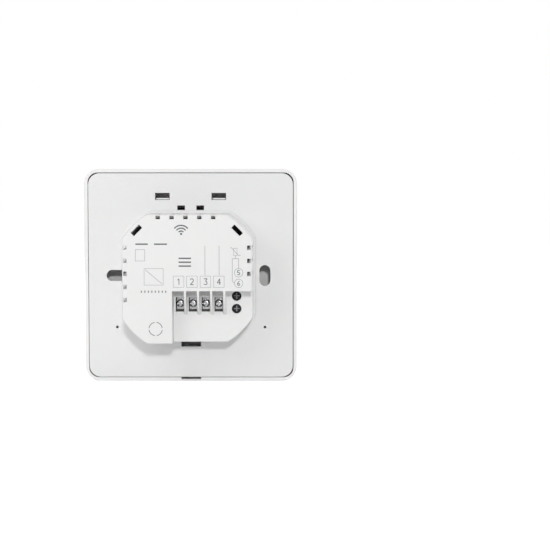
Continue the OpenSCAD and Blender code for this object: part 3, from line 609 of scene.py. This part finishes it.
@dataclass
class Shell:
    """The clip-on cover, the mounting plate and the back box."""

    box_rear_y: float = 23.4
    print_lift: float = 0.02
    seal_lift: float = 0.05
    line: float = 0.2
    thin_line: float = 0.16
    mark: float = 0.55
    box_size: Point = (4.1, 4.4)
    figure: Point = (2.3, 0.3)
    small_figure: Point = (1.7, 0.26)
    box_x: tuple[float, ...] = (3.24, -1.93, -7.18, -12.38)
    box_z: float = -0.88
    lead_x: tuple[float, ...] = (-7.0, -12.5)
    lead_span: Point = (1.7, 13.1)
    sensor_x: float = -20.05
    sensor_z: tuple[float, ...] = (2.63, -1.5)
    sensor_ring_r: float = 1.65
    sensor_lead: tuple[Point, ...] = ((-20.05, 4.3), (-20.05, 8.1), (-17.6, 8.1), (-17.6, -0.6),
                                      (-18.4, -1.5))
    probe_x: float = -18.8
    probe_stem: Point = (8.1, 9.3)
    probe_z: float = 10.7
    probe_size: Point = (1.3, 2.8)
    probe_stroke: tuple[Point, ...] = ((-17.0, 12.6), (-20.0, 9.3), (-20.8, 9.3))
    rating_bars: tuple[Point, ...] = ((17.5, 4.8), (10.2, 5.0))
    rating_z: float = 13.7
    load_rows: tuple[float, ...] = (8.2, 6.7, 5.2)
    load_span: Point = (-1.6, 3.2)
    dash_count: int = 8
    dash_from: Point = (17.9, 17.5)
    dash_pitch: float = 1.35
    dash_z: float = -4.75
    dash_w: float = 0.8
    signal_at: Point = (2.2, 17.6)
    signal_radii: tuple[float, ...] = (1.2, 2.3, 3.4)
    signal_w: float = 0.5
    signal_sweep: Point = (40, 140)
    signal_dot_at: Point = (2.2, 17.7)
    signal_dot_r: float = 0.45
    pale_frames: tuple[tuple[Point, Point], ...] = (((18.15, 9.4), (3.6, 4.4)),
                                                    ((12.9, 1.0), (7.4, 6.4)))
    pale_stroke: tuple[Point, Point] = ((9.6, -1.8), (16.2, 3.8))
    # place, radius and stroke, and arc gaps of the painted shade ring that stands for a shaded groove
    # round a knock-out
    seal_at: Point = (12.25, -19.3)
    seal_ring: Point = (2.6, 0.24)
    seal_gap: int = 8

    def _terminal_legend(self) -> None:
        """Draw the terminal numbers, their boxes and their leads."""
        lines = FlatArt("terminal_outlines", self.box_rear_y, self.print_lift, 1)
        figures = FlatArt("terminal_numbers", self.box_rear_y, self.print_lift, 1)
        for number, x in enumerate(self.box_x, start=1):
            lines.frame_box((x, self.box_z), self.box_size, self.thin_line)
            figures.digit(str(number), (x, self.box_z), *self.figure)
        for x in self.lead_x:
            lines.bar((x, self.lead_span[0]), (x, self.lead_span[1]), self.line)
        for number, z in enumerate(self.sensor_z, start=len(self.box_x) + 1):
            lines.ring((self.sensor_x, z), self.sensor_ring_r, self.line)
            figures.digit(str(number), (self.sensor_x, z), *self.small_figure)
        lines.path(self.sensor_lead, self.line)
        lines.bar((self.probe_x, self.probe_stem[0]), (self.probe_x, self.probe_stem[1]), self.line)
        lines.frame_box((self.probe_x, self.probe_z), self.probe_size, self.thin_line)
        lines.path(self.probe_stroke, self.line)
        lines.build(PALE_INK, Body.BASE, "component_black")
        figures.build(INK, Body.BASE, "component_black")

    def _plain_marks(self) -> None:
        """Draw neutral marks where a maker prints a rating: bars, frames and a signal sign, and a
        broken dark ring of painted shade for a groove round a knock-out.
        """
        marks = FlatArt("rating_marks", self.box_rear_y, self.print_lift, 1)
        for middle, width in self.rating_bars:
            ends = (middle - width / 2, middle + width / 2)
            marks.bar((ends[0], self.rating_z), (ends[1], self.rating_z), self.mark)
        for row in self.load_rows:
            marks.bar((self.load_span[0], row), (self.load_span[1], row), self.mark)
        for i in range(self.dash_count):
            left, right = (x - i * self.dash_pitch for x in self.dash_from)
            marks.bar((left, self.dash_z), (right, self.dash_z), self.dash_w)
        for radius in self.signal_radii:
            marks.ring(self.signal_at, radius, self.signal_w, *self.signal_sweep)
        marks.dot(self.signal_dot_at, self.signal_dot_r)
        marks.build(INK, Body.BASE, "component_black")
        pale = FlatArt("rating_frame", self.box_rear_y, self.print_lift, 1)
        for centre, size in self.pale_frames:
            pale.frame_box(centre, size, self.thin_line)
        pale.bar(*self.pale_stroke, self.line)
        pale.build(PALE_INK, Body.BASE, "component_black")
        # painted shade: a broken ring in dark print ink, standing for the shade inside a groove round
        # a knock-out
        groove_shade = FlatArt("painted_groove_shade_ring", self.box_rear_y, self.seal_lift, 1)
        for start in range(0, 360, 90):
            groove_shade.ring(self.seal_at, *self.seal_ring, start + self.seal_gap, start + 90 - self.seal_gap)
        groove_shade.build(INK, Body.BASE, "component_black")

    def build(self) -> None:
        """Dress the shells and draw the legend on the box."""
        WHITE_SHELL.dress("front_cover")
        WHITE_PLATE.dress("mounting_plate")
        WHITE_BOX.dress("back_box")
        WHITE_INNER.dress("inner_cover")
        self._terminal_legend()
        self._plain_marks()


@dataclass
class Terminals:
    """Screw clamps for the mains wires and rising cages for the sensor wires."""

    mains: range = range(1, 5)
    sensors: dict[int, Body] = field(
        default_factory=lambda: {5: Body.SENSOR_SCREW_5, 6: Body.SENSOR_SCREW_6})
    sensor_x: float = -19.0
    sensor_z: dict[int, float] = field(default_factory=lambda: {5: -7.15, 6: -12.15})
    slot_floor_y: float = 13.57
    # length and width of the painted highlight bars in the cross slots, and how far they stand off the
    # slot floor
    mark: Point = (2.3, 0.42)
    mark_lift: float = 0.03

    def _driver_marks(self, number: int) -> None:
        """Paint a highlight on the floor of a sensor screw's cross slot: bars of lighter steel that
        stand for the glint on the screw head.

        Args:
            number: The terminal's number.
        """
        # painted highlight: a cross of lighter steel on the slot floor, standing for the glint of
        # light on the dark screw head
        marks = FlatArt(f"slot_highlight_{number}", self.slot_floor_y, self.mark_lift, 1)
        x, z, half = self.sensor_x, self.sensor_z[number], self.mark[0] / 2
        marks.bar((x - half, z), (x + half, z), self.mark[1])
        for side in (-1, 1):
            marks.bar((x, z + side * self.mark[1] / 2), (x, z + side * half), self.mark[1])
        marks.build(SLOT_HIGHLIGHT_STEEL, self.sensors[number], "dark_steel")

    def build(self) -> None:
        """Dress every terminal part."""
        TERMINAL_GREY.dress("mains_terminal_block", "sensor_terminal_block")
        TINNED.dress("mains_contacts", "sensor_contacts")
        for i in self.mains:
            ZINC.dress(f"clamp_plate_{i}", f"clamp_screw_{i}")
        for i in self.sensors:
            ZINC.dress(f"wire_cage_{i}")
            DARK_STEEL.dress(f"cage_screw_{i}")
            self._driver_marks(i)


@dataclass
class Electronics:
    """What sits on the power board."""

    def build(self) -> None:
        """Dress the boards and their components."""
        MASK.dress("power_board")
        BRASS.dress("header_pins")
        EPOXY.dress("relay", "power_module", "capacitor")
        DIPPED_BLUE.dress("varistor")
        CERAMIC.dress("fuse")
        ZINC.dress("base_screws")


@dataclass(frozen=True)
class Softbox:
    """A square softbox that looks at the thermostat.

    place and size are in millimetres, power is in watts.
    """

    name: str
    place: Place
    size: float
    power: float

    def build(self) -> None:
        """Hang the softbox in its place, unseen by the camera."""
        data = bpy.data.lights.new(self.name, "AREA")
        data.size = self.size * MM
        data.energy = self.power
        lamp = bpy.data.objects.new(self.name, data)
        lamp.location = Vector(self.place) * MM
        lamp.rotation_euler = Vector(self.place).to_track_quat("Z", "Y").to_euler()
        lamp.visible_camera = False
        bpy.context.scene.collection.objects.link(lamp)


@dataclass
class Studio:
    """Floor, lights, surroundings and camera."""

    floor_z: float = -43.05
    floor_r: float = 4000.0
    floor_steps: int = 96
    camera_at: Place = (-35.5, 540.0, 36.0)
    aim_at: Place = (-34.1, 0.0, 0.2)
    lens: float = 87.4
    sensor_w: float = 36.0
    clip_m: Point = (0.01, 50.0)
    key_strength: float = 1.02
    key_spread: float = 5.0
    key_up: float = 18.0
    key_aside: float = 6.0
    fill: float = 0.4
    floor_colour: Colour = (0.86, 0.86, 0.86)
    floor_roughness: float = 0.9
    floor_glow: float = 0.575
    softboxes: tuple[Softbox, ...] = (
        Softbox("side_softbox", (230.0, 330.0, 200.0), 260.0, 0.38),
        Softbox("flank_softbox", (-520.0, -130.0, 160.0), 240.0, 0.85),
        Softbox("front_softbox", (260.0, -620.0, 420.0), 420.0, 3.2))

    def _floor(self) -> None:
        """Make the pale floor, a shade lighter than its light alone would make it."""
        form = bmesh.new()
        bmesh.ops.create_circle(form, cap_ends=True, radius=self.floor_r * MM,
                                segments=self.floor_steps)
        mesh = bpy.data.meshes.new("floor")
        form.to_mesh(mesh)
        form.free()
        floor = bpy.data.objects.new("floor", mesh)
        floor.location.z = self.floor_z * MM
        bpy.context.scene.collection.objects.link(floor)
        material = bpy.data.materials.new("pale_floor")
        material.use_nodes = True
        shader = material.node_tree.nodes["Principled BSDF"]
        shader.inputs["Base Color"].default_value = (*self.floor_colour, 1.0)
        shader.inputs["Roughness"].default_value = self.floor_roughness
        shader.inputs["Specular IOR Level"].default_value = 0.0
        shader.inputs["Emission Color"].default_value = WHITE
        ray = material.node_tree.nodes.new("ShaderNodeLightPath")
        glow = material.node_tree.nodes.new("ShaderNodeMath")
        glow.operation = "MULTIPLY"
        glow.inputs[1].default_value = self.floor_glow
        material.node_tree.links.new(ray.outputs["Is Camera Ray"], glow.inputs[0])
        material.node_tree.links.new(glow.outputs[0], shader.inputs["Emission Strength"])
        mesh.materials.append(material)

    def _surroundings(self) -> None:
        """Set a soft grey room that the camera sees as white."""
        world = bpy.data.worlds.new("room")
        bpy.context.scene.world = world
        world.use_nodes = True
        nodes, links = world.node_tree.nodes, world.node_tree.links
        nodes.clear()
        soft, bright = nodes.new("ShaderNodeBackground"), nodes.new("ShaderNodeBackground")
        soft.inputs["Color"].default_value = WHITE
        soft.inputs["Strength"].default_value = self.fill
        bright.inputs["Color"].default_value = WHITE
        bright.inputs["Strength"].default_value = 1.0
        ray, mix = nodes.new("ShaderNodeLightPath"), nodes.new("ShaderNodeMixShader")
        out = nodes.new("ShaderNodeOutputWorld")
        links.new(ray.outputs["Is Camera Ray"], mix.inputs["Fac"])
        links.new(soft.outputs[0], mix.inputs[1])
        links.new(bright.outputs[0], mix.inputs[2])
        links.new(mix.outputs[0], out.inputs["Surface"])

    def _sun(self, name: str, towards: Vector, strength: float, spread: float) -> None:
        """Add a distant soft light.

        Args:
            name: Its name.
            towards: Direction from the object to the light.
            strength: Its strength.
            spread: Its angular size in degrees.
        """
        data = bpy.data.lights.new(name, "SUN")
        data.energy = strength
        data.angle = math.radians(spread)
        lamp = bpy.data.objects.new(name, data)
        lamp.rotation_euler = towards.to_track_quat("Z", "Y").to_euler()
        bpy.context.scene.collection.objects.link(lamp)

    def _camera(self) -> None:
        """Set the camera behind the thermostat, looking at its back."""
        data = bpy.data.cameras.new("camera")
        data.lens = self.lens
        data.sensor_width = self.sensor_w
        data.clip_start, data.clip_end = self.clip_m
        camera = bpy.data.objects.new("camera", data)
        camera.location = Vector(self.camera_at) * MM
        look = Vector(self.aim_at) - Vector(self.camera_at)
        camera.rotation_euler = look.to_track_quat("-Z", "Y").to_euler()
        bpy.context.scene.collection.objects.link(camera)
        bpy.context.scene.camera = camera

    def build(self) -> None:
        """Set up the whole studio."""
        self._floor()
        self._surroundings()
        up, aside = math.radians(self.key_up), math.radians(self.key_aside)
        key = Vector((-math.sin(aside) * math.cos(up), math.cos(aside) * math.cos(up), math.sin(up)))
        self._sun("key", key, self.key_strength, self.key_spread)
        for softbox in self.softboxes:
            softbox.build()
        bpy.context.scene.view_settings.view_transform = "Standard"
        self._camera()


def main() -> None:
    """Build every sub-assembly in order."""
    logging.basicConfig(level=logging.INFO, format="%(name)s: %(message)s")
    for assembly in (Studio(), Shell(), DialRing(), DisplayFace(), Terminals(), Electronics()):
        LOG.info("building %s", type(assembly).__name__)
        assembly.build()


if __name__ == "__main__":
    main()
